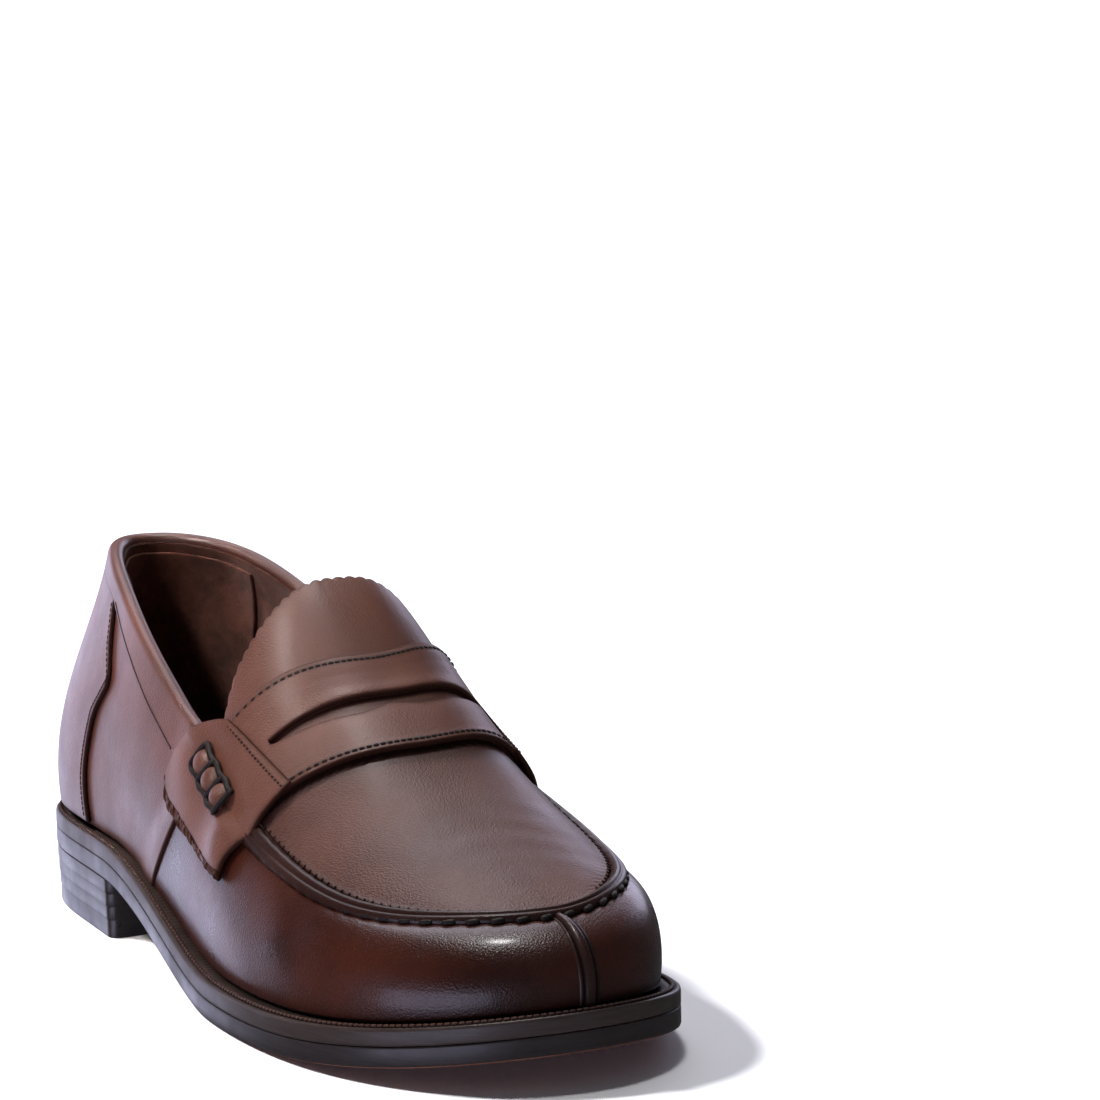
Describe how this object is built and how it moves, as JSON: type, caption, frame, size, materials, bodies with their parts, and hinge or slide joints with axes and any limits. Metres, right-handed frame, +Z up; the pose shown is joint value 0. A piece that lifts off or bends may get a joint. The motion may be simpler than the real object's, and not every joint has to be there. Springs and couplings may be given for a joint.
{
  "type": "penny loafer",
  "caption": "Brown leather penny loafer for the right foot: apron front, slotted saddle strap with gathered ends, welted leather sole and stacked heel.",
  "frame": {"origin": "on the ground, under the centre of the shoe's bounding box", "axes": "+X towards the toe, +Y towards the inner side of the foot, +Z up"},
  "size_m": [0.2997, 0.1101, 0.1133],
  "materials": {
    "vamp_leather": "polished smooth calf, reddish brown, gently burnished",
    "upper_leather": "polished smooth calf, mid brown",
    "lining_suede": "napped brown lining leather",
    "edge_leather": "stained and waxed edge, very dark brown",
    "sole_leather": "tanned sole leather, edges stained dark",
    "thread": "waxed dark brown thread",
    "heel_rubber": "matt dark rubber",
    "cork": "pressed cork",
    "board": "undyed insole leather and leatherboard",
    "steel": "plain spring steel"
  },
  "bodies": {
    "shoe": {"outsole": "sole_leather", "welt": "edge_leather", "insole_rib": "board", "welt_stitching": "thread", "cork_filler": "cork", "shank": "steel", "insole": "board", "sock_liner": "lining_suede", "heel_top_piece": "heel_rubber", "heel_lift_1": "edge_leather", "heel_lift_2": "edge_leather", "heel_lift_3": "edge_leather", "heel_nail_1": "steel", "heel_nail_2": "steel", "heel_nail_3": "steel", "heel_nail_4": "steel", "heel_nail_5": "steel", "vamp_lateral": "vamp_leather", "quarter_lateral": "upper_leather", "vamp_medial": "vamp_leather", "quarter_medial": "upper_leather", "toe_seam_strip": "vamp_leather", "backstay": "upper_leather", "collar_band": "upper_leather", "heel_counter": "board", "toe_puff": "board", "vamp_lining": "lining_suede", "quarter_lining_lateral": "lining_suede", "quarter_lining_medial": "lining_suede", "heel_grip": "lining_suede", "apron_lining": "lining_suede", "apron": "upper_leather", "apron_ridge": "upper_leather", "apron_stitching": "thread", "saddle_strap": "upper_leather", "saddle_underlay": "upper_leather", "saddle_flap_lateral": "upper_leather", "beefroll_lateral": "upper_leather", "saddle_flap_medial": "upper_leather", "beefroll_medial": "upper_leather"},
    "tongue_flap": {"tongue": "upper_leather", "tongue_lining": "lining_suede"}
  },
  "joints": [
    {"name": "tongue_flex", "type": "hinge", "parent": "shoe", "child": "tongue_flap", "pos_m": [0.0195, 0.006, 0.0925], "axis": [0, 1, 0], "range_deg": [0, 25], "stiffness_Nm_per_rad": 0.05}
  ]
}
